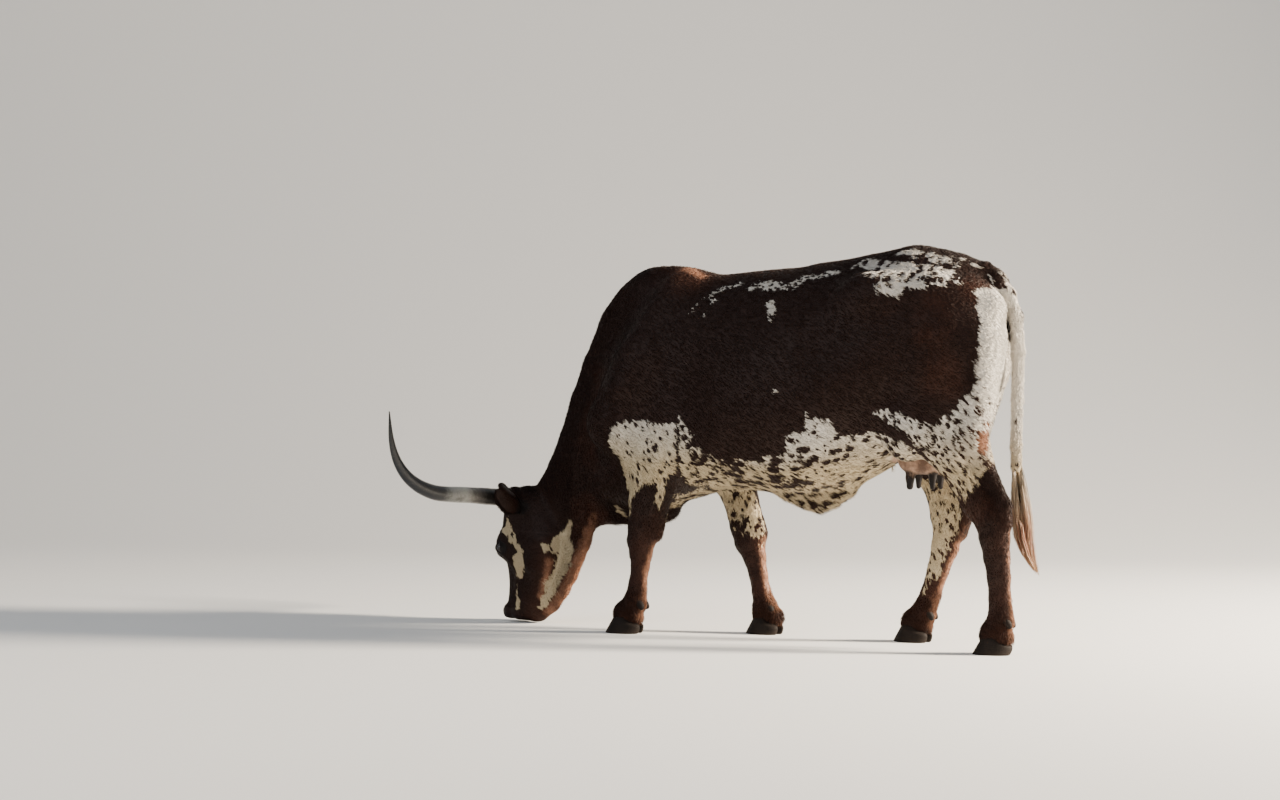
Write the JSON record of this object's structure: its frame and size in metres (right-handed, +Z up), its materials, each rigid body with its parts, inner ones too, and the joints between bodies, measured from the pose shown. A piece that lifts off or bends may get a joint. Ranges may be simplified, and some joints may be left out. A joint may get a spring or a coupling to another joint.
{
  "type": "texas longhorn cow",
  "caption": "Still, life-size model of a longhorn cow that grazes with its head down, with wide upswept horns, cloven hooves, udder and tufted tail.",
  "frame": {"origin": "on the floor, under the middle of the whole animal's box", "axes": "+X from the head to the tail, +Y to the animal's right side, +Z up"},
  "size_m": [2.285, 1.2642, 1.4145],
  "materials": {
    "coat": "short, flat, glossy red-brown hair with white patches, ticks and spots",
    "pale_skin": "thin bare skin of the udder, pinkish cream",
    "dark_skin": "bare dark skin of the teats and muzzle",
    "horn": "smooth grey horn with a pale band and a dark tip",
    "hoof": "dark, worn hoof wall with fine growth rings",
    "eye": "wet dark brown eye",
    "tail_hair": "long coarse hair, cream to reddish brown"
  },
  "bodies": {
    "root": {"claw_front_left_outer": "hoof", "dewclaw_front_left_outer": "hoof", "claw_front_left_inner": "hoof", "dewclaw_front_left_inner": "hoof", "claw_front_right_outer": "hoof", "dewclaw_front_right_outer": "hoof", "claw_front_right_inner": "hoof", "dewclaw_front_right_inner": "hoof", "claw_hind_left_outer": "hoof", "dewclaw_hind_left_outer": "hoof", "claw_hind_left_inner": "hoof", "dewclaw_hind_left_inner": "hoof", "claw_hind_right_outer": "hoof", "dewclaw_hind_right_outer": "hoof", "claw_hind_right_inner": "hoof", "dewclaw_hind_right_inner": "hoof", "udder": "pale_skin", "teat_fore_left": "dark_skin", "teat_fore_right": "dark_skin", "teat_rear_left": "dark_skin", "teat_rear_right": "dark_skin", "leg_front_left_upper": "coat", "leg_front_left_lower": "coat", "leg_front_right_upper": "coat", "leg_front_right_lower": "coat", "leg_hind_left_upper": "coat", "leg_hind_left_lower": "coat", "leg_hind_right_upper": "coat", "leg_hind_right_lower": "coat", "tail_dock": "coat", "tail_switch": "tail_hair", "torso": "coat", "neck": "coat", "horn_left": "horn", "ear_left": "coat", "eye_left": "eye", "horn_right": "horn", "ear_right": "coat", "eye_right": "eye", "head": "coat"}
  },
  "joints": []
}
